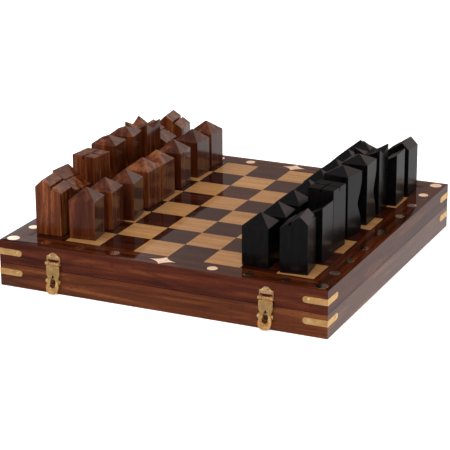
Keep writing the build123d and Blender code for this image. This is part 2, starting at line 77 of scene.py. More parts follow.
back = Vector((math.sin(camera_turn) * math.cos(camera_rise),
               -math.cos(camera_turn) * math.cos(camera_rise),
               math.sin(camera_rise)))
level_right = Vector((math.cos(camera_turn), math.sin(camera_turn), 0))
level_up = back.cross(level_right)
right = math.cos(camera_roll) * level_right + math.sin(camera_roll) * level_up
up = math.cos(camera_roll) * level_up - math.sin(camera_roll) * level_right

camera = bpy.data.objects.new("camera", bpy.data.cameras.new("camera"))
bpy.context.scene.collection.objects.link(camera)
bpy.context.scene.camera = camera
camera.data.lens = lens_length
camera.data.sensor_width = 36
stand = right * aim_right + up * aim_up + back * camera_distance
camera.matrix_world = Matrix.Translation(stand) @ Matrix((right, up, back)).transposed().to_4x4()
camera.data.clip_start = 0.1
camera.data.clip_end = 100


# ------------------------------------------------------------------------------ studio
# A pale paper floor in a grey room, under one broad silk-covered light. The lacquer mirrors a
# warm wall, a pale table and a window behind it. The brass mirrors a small window and a bulb.
def add_node(tree, kind, sockets=None, stops=None, **settings):
    """Add one node, with its settings, its sockets (a value or an output) and a ramp's stops."""
    node = tree.nodes.new(kind)
    for name, value in settings.items():
        setattr(node, name, value)
    for name, value in (sockets or {}).items():
        if isinstance(value, bpy.types.NodeSocket):
            tree.links.new(value, node.inputs[name])
        else:
            node.inputs[name].default_value = value
    if stops:
        elements = node.color_ramp.elements
        while len(elements) < len(stops):
            elements.new(1.0)
        for element, (place, colour) in zip(elements, stops):
            element.position = place
            element.color = colour
    return node


def linear(hex_colour):
    """An sRGB hex colour as the linear values that Blender works in."""
    channels = [int(hex_colour[k:k + 2], 16) / 255 for k in (1, 3, 5)]
    return tuple(c / 12.92 if c <= 0.04045 else ((c + 0.055) / 1.055) ** 2.4
                 for c in channels) + (1.0,)


def new_material(name):
    """An empty material with a Principled shader on its output."""
    material = bpy.data.materials.new(name)
    material.use_nodes = True
    tree = material.node_tree
    tree.nodes.clear()
    shader = add_node(tree, "ShaderNodeBsdfPrincipled")
    add_node(tree, "ShaderNodeOutputMaterial", {"Surface": shader.outputs["BSDF"]})
    return material, tree, shader


bpy.context.scene.view_settings.view_transform = "Standard"

room_grey = (0.26, 0.26, 0.27)
# direction, angle of full strength, angle where it ends (degrees), colour times strength
room_lights = {
    "warm wall behind": ((-0.15, 0.85, 0.52), 26, 44, (0.60, 0.45, 0.37)),
    "pale table behind": ((0.42, 0.85, -0.36), 30, 48, (0.64, 0.62, 0.60)),
    "window behind on the left": ((-0.66, 0.66, 0.34), 11, 19, (0.75, 0.85, 0.95)),
    "dark corner behind on the left": ((-0.56, 0.82, -0.16), 10, 24, (-0.24, -0.24, -0.25)),
    "warm lamp in front": ((-0.40, -0.88, 0.20), 12, 28, (0.42, 0.18, 0.05)),
    "window in front on the right": ((0.50, -0.80, 0.26), 7, 13, (3.2, 3.1, 2.9)),
    "bare bulb overhead": ((0.25, -0.50, 0.83), 8, 14, (4.0, 3.8, 3.4)),
}
world = bpy.data.worlds.new("grey room")
bpy.context.scene.world = world
world.use_nodes = True
world.node_tree.nodes.clear()
towards = add_node(world.node_tree, "ShaderNodeTexCoord").outputs["Generated"]
glow = room_grey
for direction, full, end, strength in room_lights.values():
    facing = add_node(world.node_tree, "ShaderNodeVectorMath",
                      {0: towards, 1: Vector(direction).normalized()}, operation="DOT_PRODUCT")
    share = add_node(world.node_tree, "ShaderNodeMapRange",
                     {"Value": facing.outputs["Value"], "From Min": math.cos(math.radians(end)),
                      "From Max": math.cos(math.radians(full))}, interpolation_type="SMOOTHSTEP")
    glow = add_node(world.node_tree, "ShaderNodeVectorMath",
                    {0: share.outputs["Result"], 1: strength, 2: glow},
                    operation="MULTIPLY_ADD").outputs[0]
room = add_node(world.node_tree, "ShaderNodeBackground", {"Color": glow})
add_node(world.node_tree, "ShaderNodeOutputWorld", {"Surface": room.outputs[0]})

sky_light = bpy.data.lights.new("overhead silk", "SUN")
sky_light.energy = 1.72
sky_light.angle = math.radians(70)      # so wide that shadows have no edge
overhead = bpy.data.objects.new("overhead silk", sky_light)
bpy.context.scene.collection.objects.link(overhead)
overhead.rotation_euler = (math.radians(32), math.radians(-8), 0)
overhead.visible_glossy = False

floor_radius = 14.0
# uncoated paper: even and bright, with no gloss, and just enough tooth to break up the shadow
paper, paper_tree, paper_shader = new_material("matt white paper")
fibre = add_node(paper_tree, "ShaderNodeTexNoise", {"Scale": 900.0, "Detail": 2.0})
add_node(paper_tree, "ShaderNodeBump", {"Height": fibre.outputs["Fac"], "Strength": 0.03})
paper_shader.inputs["Base Color"].default_value = linear("#F4F4F4")
paper_shader.inputs["Roughness"].default_value = 0.9
paper_shader.inputs["Specular IOR Level"].default_value = 0.0
paper_shader.inputs["Emission Color"].default_value = (1, 1, 1, 1)
paper_shader.inputs["Emission Strength"].default_value = 0.60
disc = bmesh.new()
bmesh.ops.create_circle(disc, cap_ends=True, segments=96, radius=floor_radius)
floor_mesh = bpy.data.meshes.new("paper_floor")
disc.to_mesh(floor_mesh)
disc.free()
floor_mesh.materials.append(paper)
paper_floor = bpy.data.objects.new("paper_floor", floor_mesh)
bpy.context.scene.collection.objects.link(paper_floor)
paper_floor.visible_glossy = False


# ------------------------------------------------------------------------------ base rails
# Four sheesham rails, mitred at the corners and glued. Their long grain runs round the box.
# The outside is sanded, its edges are eased by hand, and it is sprayed with clear lacquer.
weld = 0.001 * mm
sharp_from = math.radians(20)
rail_easing = 0.45 * mm
long_edge = 12 * mm


def welded(node):
    """A bmesh copy of a CAD node with its loose triangles joined and its flat faces whole."""
    shape = bmesh.new()
    shape.from_mesh(frame["nodes"][node].data)
    bmesh.ops.remove_doubles(shape, verts=shape.verts, dist=weld)
    bmesh.ops.dissolve_limit(shape, angle_limit=math.radians(0.4), verts=shape.verts, edges=shape.edges)
    return shape


def stand_in(shape, name, body, node, materials):
    """Turn a bmesh into a piece that rides on a body and stands for a CAD node."""
    mesh = bpy.data.meshes.new(name)
    shape.to_mesh(mesh)
    shape.free()
    for material in materials:
        mesh.materials.append(material)
    piece = bpy.data.objects.new(name, mesh)
    bpy.context.scene.collection.objects.link(piece)
    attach(piece, body)
    if node:
        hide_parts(node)
    return piece


def eased(node, ending, easing, materials, shortest=0.0, rings=2):
    """A copy of a CAD piece with its sharp edges rounded over."""
    shape = welded(node)
    weights = shape.edges.layers.float.new("bevel_weight_edge")
    for edge in shape.edges:
        folded = len(edge.link_faces) == 2 and edge.calc_face_angle() > sharp_from
        edge[weights] = 1.0 if folded and edge.calc_length() > shortest else 0.0
        edge.smooth = not folded
    for face in shape.faces:
        face.smooth = True
    piece = stand_in(shape, node + ending, frame["nodes"][node]["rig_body"], node, materials)
    rounding = piece.modifiers.new("eased edges", "BEVEL")
    rounding.limit_method = "WEIGHT"
    rounding.width = easing
    rounding.segments = rings
    rounding.harden_normals = True
    return piece


def lacquered_sheesham(name, grain, tones, gloss, haze=0.05, own=None, contrast=1.0, own_range=0.22):
    """Sheesham under clear lacquer: dark streaks and open pores below a smooth wet gloss.

    grain is the axis that it grew along, and tones run from dark to light.
    """
    material, tree, shader = new_material(name)
    place = add_node(tree, "ShaderNodeTexCoord").outputs["Object"]
    shade = None
    if own == "stick":
        # every stick is cut from another part of the plank
        shade = add_node(tree, "ShaderNodeAttribute", attribute_name="stick").outputs["Fac"]
    if own == "field":
        # every field is cut from another strip
        cell = add_node(tree, "ShaderNodeVectorMath", {0: place, 1: (1 / field,) * 3}, operation="MULTIPLY")
        cell = add_node(tree, "ShaderNodeVectorMath", {0: cell.outputs[0]}, operation="FLOOR")
        cell = add_node(tree, "ShaderNodeVectorMath", {0: cell.outputs[0], 1: (1, 1, 0)},
                        operation="MULTIPLY")
        shade = add_node(tree, "ShaderNodeTexWhiteNoise", {"Vector": cell.outputs[0]}).outputs["Value"]
    if shade:
        moved = add_node(tree, "ShaderNodeVectorMath", {0: (0.9, 0.7, 0.8), "Scale": shade},
                         operation="SCALE")
        place = add_node(tree, "ShaderNodeVectorMath", {0: place, 1: moved.outputs[0]},
                         operation="ADD").outputs[0]
    # each layer: width across the grain, length along it, detail
    grown = {}
    for layer, (width, length, detail) in {"bands": (7 * mm, 110 * mm, 2.0),
                                           "figure": (15 * mm, 120 * mm, 1.0),
                                           "fibre": (0.8 * mm, 16 * mm, 3.0),
                                           "pores": (0.5 * mm, 5 * mm, 0.0)}.items():
        spread = [1 / width] * 3
        spread[grain] = 1 / length
        mapped = add_node(tree, "ShaderNodeMapping", {"Vector": place, "Scale": spread})
        grown[layer] = add_node(tree, "ShaderNodeTexNoise",
                                {"Vector": mapped.outputs[0], "Scale": 1.0, "Detail": detail,
                                 "Distortion": 0.4}).outputs["Fac"]
    # growth rings follow the contour lines of the broad figure
    ring_turns = 42.0
    rings = add_node(tree, "ShaderNodeMath", {0: grown["figure"], 1: ring_turns}, operation="MULTIPLY")
    rings = add_node(tree, "ShaderNodeMath", {0: rings.outputs[0]}, operation="SINE")
    tone = add_node(tree, "ShaderNodeMath", {0: rings.outputs[0], 1: 0.07 * contrast, 2: grown["bands"]},
                    operation="MULTIPLY_ADD").outputs[0]
    tone = add_node(tree, "ShaderNodeMath", {0: grown["fibre"], 1: 0.24 * contrast, 2: tone},
                    operation="MULTIPLY_ADD").outputs[0]
    if shade:
        tone = add_node(tree, "ShaderNodeMath", {0: shade, 1: own_range, 2: tone},
                        operation="MULTIPLY_ADD").outputs[0]
    shift = 0.12 * contrast + (own_range / 2 if shade else 0.0)
    tone = add_node(tree, "ShaderNodeMath", {0: tone, 1: shift}, operation="SUBTRACT").outputs[0]
    reach = 0.17 / contrast
    stops = [(0.5 + reach * step, linear(colour)) for step, colour in zip((-1, -0.35, 0.3, 1), tones)]
    colour = add_node(tree, "ShaderNodeValToRGB", {"Fac": tone}, stops=stops)
    open_pore = add_node(tree, "ShaderNodeMapRange",
                         {"Value": grown["pores"], "From Min": 0.60, "From Max": 0.74, "To Max": 0.7})
    darker = add_node(tree, "ShaderNodeMix", {0: open_pore.outputs[0], 6: colour.outputs[0],
                                              7: linear(tones[0])}, data_type="RGBA")
    tree.links.new(darker.outputs[2], shader.inputs["Base Color"])
    rough = add_node(tree, "ShaderNodeMapRange", {"Value": grown["fibre"], "To Min": 0.38, "To Max": 0.52})
    tree.links.new(rough.outputs[0], shader.inputs["Roughness"])
    dents = add_node(tree, "ShaderNodeBump", {"Height": open_pore.outputs[0], "Strength": 0.25,
                                              "Distance": 0.03 * mm}, invert=True)
    tree.links.new(dents.outputs[0], shader.inputs["Normal"])
    # the sprayed lacquer has levelled out almost flat, with a very faint wave in it
    still = add_node(tree, "ShaderNodeTexCoord").outputs["Object"]
    wave = add_node(tree, "ShaderNodeTexNoise", {"Vector": still, "Scale": 70.0, "Detail": 1.0})
    film = add_node(tree, "ShaderNodeBump", {"Height": wave.outputs["Fac"], "Strength": 0.2,
                                             "Distance": 0.12 * mm})
    tree.links.new(film.outputs[0], shader.inputs["Coat Normal"])
    shader.inputs["Specular IOR Level"].default_value = 0.0
    shader.inputs["Coat Weight"].default_value = gloss
    shader.inputs["Coat Roughness"].default_value = haze
    shader.inputs["Coat IOR"].default_value = 1.5
    return material


# a thick film over brown wood: the rails mirror the room and the grain shows through softly
grain_axis = {"front": 0, "back": 0, "left": 1, "right": 1}
base_wood = [lacquered_sheesham(f"sprayed brown sheesham, grain along {axis}", grain,
                                ("#3C1A0A", "#50260F", "#5C2D14", "#734122"), 0.85, contrast=0.8)
             for grain, axis in enumerate("XY")]
for side, grain in grain_axis.items():
    eased(f"base_{side}_rail", "_lacquered", rail_easing, [base_wood[grain]], shortest=long_edge)


# ------------------------------------------------------------------------------ floor, lining
# A plywood bottom let into the rails, seen from below, with its face veneer's grain along X.
# Inside lies a cut sheet of short green felt that keeps the chess pieces from rattling.
# rotary-cut veneer, sanded and left bare: pale, dull, with long faint streaks
plywood, tree, shader = new_material("birch plywood, bare face")
place = add_node(tree, "ShaderNodeTexCoord").outputs["Object"]
stretched = add_node(tree, "ShaderNodeMapping", {"Vector": place, "Scale": (12, 180, 180)})
veneer = add_node(tree, "ShaderNodeTexNoise", {"Vector": stretched.outputs[0], "Scale": 1.0, "Detail": 5.0})
colour = add_node(tree, "ShaderNodeValToRGB", {"Fac": veneer.outputs["Fac"]},
                  stops=[(0.3, linear("#A98558")), (0.5, linear("#C3A274")), (0.7, linear("#D2B68B"))])
tree.links.new(colour.outputs[0], shader.inputs["Base Color"])
grain = add_node(tree, "ShaderNodeBump", {"Height": veneer.outputs["Fac"], "Strength": 0.3,
                                          "Distance": 0.05 * mm})
tree.links.new(grain.outputs[0], shader.inputs["Normal"])
shader.inputs["Roughness"].default_value = 0.7

# pressed wool: dull dark green that goes paler at the edges of sight
felt, tree, shader = new_material("short wool felt")
# fibres are 0.02 mm thick; their clumps are drawn at 0.5 mm so that they show
place = add_node(tree, "ShaderNodeTexCoord").outputs["Object"]
clumps = add_node(tree, "ShaderNodeTexNoise", {"Vector": place, "Scale": 2000.0, "Detail": 4.0})
cloud = add_node(tree, "ShaderNodeTexNoise", {"Vector": place, "Scale": 60.0, "Detail": 2.0})
mixed = add_node(tree, "ShaderNodeMix", {0: 0.25, 2: clumps.outputs["Fac"], 3: cloud.outputs["Fac"]})
colour = add_node(tree, "ShaderNodeValToRGB", {"Fac": mixed.outputs[0]},
                  stops=[(0.3, linear("#143520")), (0.5, linear("#1C462A")), (0.7, linear("#265838"))])
tree.links.new(colour.outputs[0], shader.inputs["Base Color"])
nap = add_node(tree, "ShaderNodeBump", {"Height": clumps.outputs["Fac"], "Strength": 0.8,
                                        "Distance": 0.3 * mm})
tree.links.new(nap.outputs[0], shader.inputs["Normal"])
shader.inputs["Roughness"].default_value = 0.95
shader.inputs["Sheen Weight"].default_value = 0.4
shader.inputs["Sheen Roughness"].default_value = 0.5


def finish(node, material):
    """Give a CAD piece its finish."""
    for place_of_material in frame["nodes"][node].material_slots:
        place_of_material.material = material


for node, material in (("base_floor", plywood), ("board_core", plywood),
                       ("base_felt_lining", felt), ("lid_felt_lining", felt)):
    finish(node, material)


# ------------------------------------------------------------------------------ lid rails
# The same sheesham, wider at the top, where the rails frame the playing surface. The top was
# sanded level with the fields after the brass was let in, so its lacquer is thinner there.
upward = 0.9                # a face whose normal's rise is above this is a top
# redder heartwood; the sides keep their thick film, and the levelled tops have a thinner one
lid_wood = [(lacquered_sheesham(f"sprayed red sheesham, grain along {axis}", grain,
                                ("#33130A", "#461D10", "#502312", "#65351D"), 0.62, contrast=0.8),
             lacquered_sheesham(f"levelled sheesham, grain along {axis}", grain,
                                ("#280E05", "#3B1707", "#481E0B", "#603018"), 0.34, contrast=0.8))
            for grain, axis in enumerate("XY")]
for side, grain in grain_axis.items():
    rail = eased(f"lid_{side}_rail", "_lacquered", rail_easing, lid_wood[grain], shortest=long_edge)
    for polygon in rail.data.polygons:
        polygon.material_index = 1 if polygon.normal.z > upward else 0


# ------------------------------------------------------------------------------ playing fields
# Sixty-four squares of 3 mm wood glued to a plywood core: sheesham for the dark fields, pale
# yellow haldu for the light ones. All are sanded level together and lacquered as one surface.
fields_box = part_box("dark_squares")
field = (fields_box[1].x - fields_box[0].x) / 8

# the darkest heartwood under the thin levelled film, each field a little unlike the next
dark_field = lacquered_sheesham("levelled sheesham fields", 0,
                                ("#240C06", "#30120A", "#38170C", "#4A2213"), 0.35, own="field",
                                contrast=0.7)
finish("dark_squares", dark_field)
# haldu is a pale, even, yellow wood, so its streaks are faint under the same film
light_field = lacquered_sheesham("levelled haldu fields", 0,
                                 ("#94673D", "#A47648", "#AF8151", "#C0925F"), 0.36, own="field",
                                 contrast=0.55)
finish("light_squares", light_field)


# ------------------------------------------------------------------------------ brass inlays
# Twenty-eight turned discs and four sawn stars of sheet brass, glued into pockets in the
# border and sanded level with it, so their faces are bright and finely scratched.
def brass(name, colours, roughness, scratch_length, polish, spots):
    """Brass sheet: yellow metal, fine scratches from the last rubbing, and a faint tarnish."""
    material, tree, shader = new_material(name)
    place = add_node(tree, "ShaderNodeTexCoord").outputs["Object"]
    cloud = add_node(tree, "ShaderNodeTexNoise", {"Vector": place, "Scale": 1 / (5 * mm), "Detail": 4.0})
    colour = add_node(tree, "ShaderNodeValToRGB", {"Fac": cloud.outputs["Fac"]},
                      stops=[(0.34, linear(colours[0])), (0.5, linear(colours[1])),
                             (0.64, linear(colours[2]))])
    tree.links.new(colour.outputs[0], shader.inputs["Base Color"])
    spread = (1 / scratch_length, 1 / (0.25 * mm), 1 / (0.25 * mm))
    mapped = add_node(tree, "ShaderNodeMapping", {"Vector": place, "Scale": spread})
    scratches = add_node(tree, "ShaderNodeTexNoise", {"Vector": mapped.outputs[0], "Scale": 1.0})
    rubbed = add_node(tree, "ShaderNodeMath", {0: cloud.outputs["Fac"], 1: spots,
                                               2: scratches.outputs["Fac"]}, operation="MULTIPLY_ADD")
    rough = add_node(tree, "ShaderNodeMapRange", {"Value": rubbed.outputs[0], "From Min": 0.4,
                                                  "From Max": 1.1, "To Min": roughness * 0.8,
                                                  "To Max": roughness * 1.4})
    tree.links.new(rough.outputs[0], shader.inputs["Roughness"])
    dents = add_node(tree, "ShaderNodeBump", {"Height": rubbed.outputs[0], "Strength": 0.06,
                                              "Distance": 0.03 * mm})
    tree.links.new(dents.outputs[0], shader.inputs["Normal"])
    shader.inputs["Metallic"].default_value = polish
    return material


# levelled and lacquered with the wood, so it stays pale and mirrors sharply
inlay_brass = brass("levelled brass inlay", ("#E6C6A4", "#F0D2B4", "#F6DDC2"), 0.16, 6 * mm, 1.0, 0.3)


def islands(node):
    """Lowest and highest corner of every separate solid in a CAD node, in a fixed order."""
    shape = welded(node)
    left, found = set(shape.verts), []
    while left:
        reached, low, high = [left.pop()], Vector((9, 9, 9)), Vector((-9, -9, -9))
        while reached:
            corner = reached.pop()
            low = Vector(map(min, low, corner.co))
            high = Vector(map(max, high, corner.co))
            for edge in corner.link_edges:
                other = edge.other_vert(corner)
                if other in left:
                    left.remove(other)
                    reached.append(other)
        found.append((low, high))
    shape.free()
    return sorted(found, key=lambda ends: [round(v, 5) for v in (*ends[0], *ends[1])])


def turned_tree(name, profile, slot=None):
    """Geometry Nodes for one turned part on every point, its head along the point's 'facing'.

    profile: rings from the shank to the top, each a share of the head's height and width. The
    first has the head's full width.
    """
    tree = bpy.data.node_groups.new(name, "GeometryNodeTree")
    tree.interface.new_socket("Points", in_out="INPUT", socket_type="NodeSocketGeometry")
    for label in ("Shank Diameter", "Shank Length", "Head Diameter", "Head Height"):
        tree.interface.new_socket(label, in_out="INPUT", socket_type="NodeSocketFloat")
    tree.interface.new_socket("Material", in_out="INPUT", socket_type="NodeSocketMaterial")
    tree.interface.new_socket("Parts", in_out="OUTPUT", socket_type="NodeSocketGeometry")
    given = add_node(tree, "NodeGroupInput").outputs
    radius = add_node(tree, "ShaderNodeMath", {0: given["Shank Diameter"], 1: 2.0}, operation="DIVIDE")
    shank = add_node(tree, "GeometryNodeMeshCylinder",
                     {"Vertices": 24, "Radius": radius.outputs[0], "Depth": given["Shank Length"]})
    part, top = shank.outputs["Mesh"], shank.outputs["Top"]
    widen = add_node(tree, "ShaderNodeMath", {0: given["Head Diameter"], 1: given["Shank Diameter"]},
                     operation="DIVIDE").outputs[0]
    risen = 0.0
    for ring, (rise_to, width_to) in enumerate(profile):
        rise = add_node(tree, "ShaderNodeMath", {0: given["Head Height"], 1: rise_to - risen},
                        operation="MULTIPLY")
        grown = add_node(tree, "GeometryNodeExtrudeMesh",
                         {"Mesh": part, "Selection": top, "Offset Scale": rise.outputs[0]})
        sized = add_node(tree, "GeometryNodeScaleElements",
                         {"Geometry": grown.outputs["Mesh"], "Selection": grown.outputs["Top"],
                          "Scale": width_to / profile[ring - 1][1] if ring else widen})
        part, top, risen = sized.outputs[0], grown.outputs["Top"], rise_to
    lower = add_node(tree, "ShaderNodeMath", {0: given["Shank Length"], 1: -0.5}, operation="MULTIPLY")
    drop = add_node(tree, "ShaderNodeCombineXYZ", {"Z": lower.outputs[0]})
    part = add_node(tree, "GeometryNodeTransform", {"Geometry": part, "Translation": drop.outputs[0]})
    part = part.outputs[0]
    if slot:
        height = add_node(tree, "ShaderNodeCombineXYZ", {"Z": given["Head Height"]})
        blade = add_node(tree, "GeometryNodeMeshCube", {"Size": slot})
        blade = add_node(tree, "GeometryNodeTransform", {"Geometry": blade.outputs[0],
                                                         "Translation": height.outputs[0]})
        sawn = add_node(tree, "GeometryNodeMeshBoolean", {"Mesh 1": part}, operation="DIFFERENCE",
                        solver="EXACT")
        tree.links.new(blade.outputs[0], sawn.inputs["Mesh 2"])
        part = sawn.outputs["Mesh"]
    facing = add_node(tree, "GeometryNodeInputNamedAttribute", {"Name": "facing"},
                      data_type="FLOAT_VECTOR")
    turned = add_node(tree, "FunctionNodeAlignRotationToVector", {"Vector": facing.outputs["Attribute"]},
                      axis="Z")
    size = add_node(tree, "GeometryNodeInputNamedAttribute", {"Name": "size"}, data_type="FLOAT_VECTOR")
    placed = add_node(tree, "GeometryNodeInstanceOnPoints",
                      {"Points": given["Points"], "Instance": part, "Rotation": turned.outputs[0],
                       "Scale": size.outputs["Attribute"]})
    real = add_node(tree, "GeometryNodeRealizeInstances", {"Geometry": placed.outputs[0]})
    painted = add_node(tree, "GeometryNodeSetMaterial", {"Geometry": real.outputs[0],
                                                         "Material": given["Material"]})
    add_node(tree, "NodeGroupOutput", {"Parts": painted.outputs[0]})
    return tree


def turned_parts(name, tree, places, sizes, material, body, node=None):
    """Run a turned_tree on its places, each a point, an outward direction and a width factor."""
    cloud = bpy.data.meshes.new(name + "_places")
    cloud.from_pydata([point for point, _, _ in places], [], [])
    facing = cloud.attributes.new("facing", "FLOAT_VECTOR", "POINT")
    facing.data.foreach_set("vector", [c for _, direction, _ in places for c in direction])
    size = cloud.attributes.new("size", "FLOAT_VECTOR", "POINT")
    size.data.foreach_set("vector", [c for _, _, wide in places for c in (wide, wide, 1)])
    carrier = bpy.data.objects.new(name + "_places", cloud)
    bpy.context.scene.collection.objects.link(carrier)
    nodes = carrier.modifiers.new("turned parts", "NODES")
    nodes.node_group = tree
    for socket in tree.interface.items_tree:
        if socket.item_type == "SOCKET" and socket.in_out == "INPUT":
            if socket.name in sizes:
                nodes[socket.identifier] = sizes[socket.name]
            if socket.name == "Material":
                nodes[socket.identifier] = material
    evaluated = carrier.evaluated_get(bpy.context.evaluated_depsgraph_get())
    mesh = bpy.data.meshes.new_from_object(evaluated)
    mesh.name = name
    bpy.data.objects.remove(carrier)
    bpy.data.meshes.remove(cloud)
    piece = bpy.data.objects.new(name, mesh)
    bpy.context.scene.collection.objects.link(piece)
    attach(piece, body)
    if node:
        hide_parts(node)
    return piece


top_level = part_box("dark_squares")[1].z
dot_sizes = {"Shank Diameter": 9 * mm, "Shank Length": 1.48 * mm, "Head Diameter": 8.9 * mm,
             "Head Height": 0.02 * mm}
dot_tree = turned_tree("turned discs", [(0.0, 1.0), (1.0, 0.985)])
dot_places = []
for low, high in islands("border_dots"):
    middle = (low + high) / 2
    wide = (high.x - low.x) / dot_sizes["Shank Diameter"]
    dot_places.append(((middle.x, middle.y, top_level - dot_sizes["Head Height"]), (0, 0, 1), wide))
turned_parts("border_discs", dot_tree, dot_places, dot_sizes, inlay_brass, "lid", "border_dots")
finish("border_stars", inlay_brass)


# ------------------------------------------------------------------------------ corner straps
# L-shaped strips of 1.2 mm brass, cut and bent cold and let in flush round each corner, one
# on the lid and one on the base. They are rubbed with fine paper along their length.
# rubbed with paper, so its shine is broad and soft
stamped_brass = brass("rubbed brass strip", ("#E0AE6C", "#EEBD7A", "#F8CC8C"), 0.36, 4 * mm, 0.78, 0.5)
for part in ("lid", "base"):
    eased(f"{part}_corner_straps", "_rubbed", 0.12 * mm, [stamped_brass])


# ------------------------------------------------------------------------------ pins and screws
# Round-headed brass pins are driven through the straps and the hasp plates, and countersunk
# slotted screws hold the leaves of the rear hinges. Their heads are brighter than the sheet.
# drawn wire, polished by the heading die, so each head carries a small bright spot
pin_brass = brass("bright brass pins", ("#F0CB80", "#FBDD98", "#FFECB8"), 0.25, 1 * mm, 0.80, 0.4)
pin_sizes = {"Shank Diameter": 1.4 * mm, "Shank Length": 7 * mm, "Head Diameter": 2.9 * mm,
             "Head Height": 0.5 * mm}
pin_tree = turned_tree("round-headed pins", [(0.0, 1.0), (0.3, 1.0), (0.62, 0.88), (0.86, 0.62),
                                             (0.97, 0.34), (1.0, 0.12)])
screw_sizes = {"Shank Diameter": 1.8 * mm, "Shank Length": 7.2 * mm, "Head Diameter": 3.6 * mm,
               "Head Height": 0.8 * mm}
screw_tree = turned_tree("countersunk screws", [(1.0, 1.0)], slot=(5 * mm, 0.5 * mm, 0.6 * mm))
screw_from = 3.3 * mm       # a head wider than this is a screw's
for body in ("base", "lid"):
    node = f"{body}_nails_and_screws"
    pins, screws = [], []
    for low, high in islands(node):
        extent, middle = high - low, (low + high) / 2
        across = max(range(3), key=lambda k: extent[k])
        outward = math.copysign(1, middle[across])
        width = min(extent[k] for k in range(3) if k != across)
        is_screw = width > screw_from
        sunk = (screw_sizes if is_screw else pin_sizes)["Head Height"]
        point = list(middle)
        point[across] = (high if outward > 0 else low)[across] - outward * sunk
        direction = [outward if k == across else 0 for k in range(3)]
        (screws if is_screw else pins).append((point, direction, 1.0))
    turned_parts(f"{body}_round_pins", pin_tree, pins, pin_sizes, pin_brass, body, node)
    turned_parts(f"{body}_slotted_screws", screw_tree, screws, screw_sizes, pin_brass, body)


# ------------------------------------------------------------------------------ hinges, hasps
# Two butt hinges screwed on at the back. In front, each hasp has a scalloped plate nailed to
# the lid and a keeper with a hook nailed to the base, stamped from redder brass than the straps.
# more copper in it: pinker than the straps, and smooth from the die
rosy_brass = brass("stamped red brass", ("#D8A97A", "#E6B787", "#F2C697"), 0.27, 3 * mm, 0.80, 0.4)
# the hook is painted dark brown as painted shade for the slot it sits in, so it only glints at the edges
hook_brass_painted_shade = brass("brass hook gone dark", ("#3A2C14", "#4C3A1B", "#6B5326"), 0.42, 2 * mm, 0.8, 0.6)
for node in ("hinge_base_leaves", "hinge_lid_leaves"):
    eased(node, "_stamped", 0.15 * mm, [stamped_brass], rings=1)
eased("hasp_plates", "_stamped", 0.15 * mm, [rosy_brass], rings=1)
keepers = eased("hasp_keepers", "_stamped", 0.15 * mm, [rosy_brass, hook_brass_painted_shade], rings=1)
keeper_sheet = 0.8 * mm     # what stands out further than this is the hook
rail_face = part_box("hasp_keepers")[1].y
# what stands out past the sheet is the hook, and it gets the brass painted dark as shade
for polygon in keepers.data.polygons:
    polygon.material_index = 1 if rail_face - polygon.center.y > 1.05 * keeper_sheet else 0
for node in ("hinge_pins", "hasp_pins"):
    finish(node, pin_brass)


# ------------------------------------------------------------------------------ hasp flaps
# A flap is one piece of 1 mm yellow brass, stamped in a die that raises a round lip about the
# lower half of its slot and dishes the thumb tab. Its top is rolled into a knuckle for the pin.
# yellower than the plates, with a shine that varies in patches
flap_brass = brass("stamped yellow brass", ("#CFA668", "#DCB274", "#E9C082"), 0.22, 3 * mm, 0.82, 0.4)
# millimetres, across the flap from its middle and up from the underside of the box
flap_sheet = 1.0
pin_out = 2.0               # from the face of the rail to the pin's middle
knuckle_radius = 1.5
knuckle_bore = 0.76
knuckle_length = 6.6
knuckle_sides = 40
knuckle_chamfer = 0.12
neck_foot = 25.6            # the neck joins the leaf to the knuckle from here up
slot_middle = Vector((0.0, 10.0))
lip_height = 0.7
lip_middle = 0.7            # from the slot's edge to the top of the lip
lip_half_width = 0.5
lip_top = 14.0              # the lip has faded out at this height
lip_fade = 4.0              # and is full this far below it
dish_middle = Vector((0.0, 4.2))
dish_radius = 5.5
dish_depth = 0.6
edge_round = 0.16
edge_start = 0.04           # second ring of a rounded edge
# the back of the leaf leaves the rail's plane at the first height, and leans less from the second
flat_out = 1.5
kick_from, kick_slope = 12, 0.4
ease_from, ease_slope = 6, 0.2
bend_softness = 0.8
# right-hand edges from the top down: distance from the middle line and height
flap_edge = ((6.0, 26.1), (6.4, 25.7), (6.4, 25.2), (6.4, 19.2), (6.35, 18.2), (5.95, 17.0),
             (5.3, 15.8), (5.15, 14.6), (5.15, 11.6), (5.3, 10.0), (5.85, 8.6), (6.1, 7.4),
             (6.05, 6.2), (5.75, 4.7), (5.0, 3.1), (3.7, 1.9), (1.9, 1.15))
slot_edge = ((0.2, 17.6), (0.75, 16.4), (1.6, 14.4), (2.3, 12.2), (2.65, 10.0), (2.55, 8.3),
             (2.05, 7.0), (1.0, 6.3))
# rings across the sheet: millimetres from the slot's edge, then shares of what is left
lip_rings = (0.0, edge_start, edge_round, 0.35, 0.55, 0.75, 0.95, 1.15, 1.4, 1.7)
sheet_rings = (0.2, 0.4, 0.6, 0.8)
turns = 132
angles = [2 * math.pi * (k + 0.5) / turns for k in range(turns)]
directions = [Vector((math.cos(angle), math.sin(angle))) for angle in angles]


def bridged(shape, loops):
    """Faces between loops of corners that lie one beside the other, the last beside the first."""
    rows = [[shape.verts.new(corner) for corner in loop] for loop in loops]
    for row, following in zip(rows, rows[1:] + rows[:1]):
        for k in range(len(row)):
            after = (k + 1) % len(row)
            shape.faces.new((row[k], row[after], following[after], following[k]))


